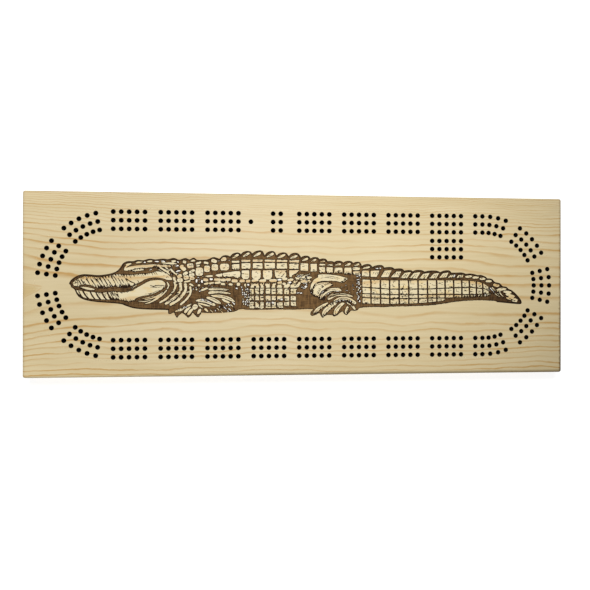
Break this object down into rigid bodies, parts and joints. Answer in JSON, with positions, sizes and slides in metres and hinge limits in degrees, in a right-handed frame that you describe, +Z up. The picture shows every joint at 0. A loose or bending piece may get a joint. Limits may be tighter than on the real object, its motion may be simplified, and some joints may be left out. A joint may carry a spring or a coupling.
{
  "type": "cribbage board",
  "caption": "Long three-track cribbage board in pine with drilled oval peg tracks, a wood-burned animal in the middle, rubber feet and a covered peg store underneath.",
  "frame": {"origin": "under the middle of the board, on the plane that the four feet stand on", "axes": "+X along the board towards the end whose turn has a middle group of holes, +Y across the board towards the row with the finish hole, +Z up out of the playing face"},
  "size_m": [0.419, 0.1396, 0.024],
  "materials": {
    "pine": "sanded pine with a thin satin finish",
    "flexible_magnet": "matte magnet strip",
    "cover_brass": "brushed brass plate",
    "screw_brass": "satin brass",
    "gold_plate": "polished brass plate on turned steel",
    "nickel_plate": "polished nickel plate on turned steel",
    "black_finish": "semi-gloss black on turned steel",
    "foot_rubber": "matte rubber"
  },
  "bodies": {
    "base": {"board": "pine", "magnet_strip": "flexible_magnet", "pivot_screw": "screw_brass", "pivot_washer": "screw_brass", "keeper_screw": "screw_brass", "foot_front_left": "foot_rubber", "foot_front_right": "foot_rubber", "foot_back_left": "foot_rubber", "foot_back_right": "foot_rubber"},
    "cover": {"store_cover": "cover_brass"},
    "gold_1": {"peg_gold_1": "gold_plate"},
    "gold_2": {"peg_gold_2": "gold_plate"},
    "gold_3": {"peg_gold_3": "gold_plate"},
    "silver_1": {"peg_silver_1": "nickel_plate"},
    "silver_2": {"peg_silver_2": "nickel_plate"},
    "silver_3": {"peg_silver_3": "nickel_plate"},
    "black_1": {"peg_black_1": "black_finish"},
    "black_2": {"peg_black_2": "black_finish"},
    "black_3": {"peg_black_3": "black_finish"}
  },
  "joints": [
    {"name": "cover_swing", "type": "hinge", "parent": "base", "child": "cover", "pos_m": [0.036, 0, 0.0039], "axis": [0, 0, -1], "range_deg": [-180, 0]},
    {"name": "gold_1_lift", "type": "slide", "parent": "base", "child": "gold_1", "axis": [0, 0, -1], "range_m": [0, 0.03]},
    {"name": "gold_2_lift", "type": "slide", "parent": "base", "child": "gold_2", "axis": [0, 0, -1], "range_m": [0, 0.03]},
    {"name": "gold_3_lift", "type": "slide", "parent": "base", "child": "gold_3", "axis": [0, 0, -1], "range_m": [0, 0.03]},
    {"name": "silver_1_lift", "type": "slide", "parent": "base", "child": "silver_1", "axis": [0, 0, -1], "range_m": [0, 0.03]},
    {"name": "silver_2_lift", "type": "slide", "parent": "base", "child": "silver_2", "axis": [0, 0, -1], "range_m": [0, 0.03]},
    {"name": "silver_3_lift", "type": "slide", "parent": "base", "child": "silver_3", "axis": [0, 0, -1], "range_m": [0, 0.03]},
    {"name": "black_1_lift", "type": "slide", "parent": "base", "child": "black_1", "axis": [0, 0, -1], "range_m": [0, 0.03]},
    {"name": "black_2_lift", "type": "slide", "parent": "base", "child": "black_2", "axis": [0, 0, -1], "range_m": [0, 0.03]},
    {"name": "black_3_lift", "type": "slide", "parent": "base", "child": "black_3", "axis": [0, 0, -1], "range_m": [0, 0.03]}
  ]
}
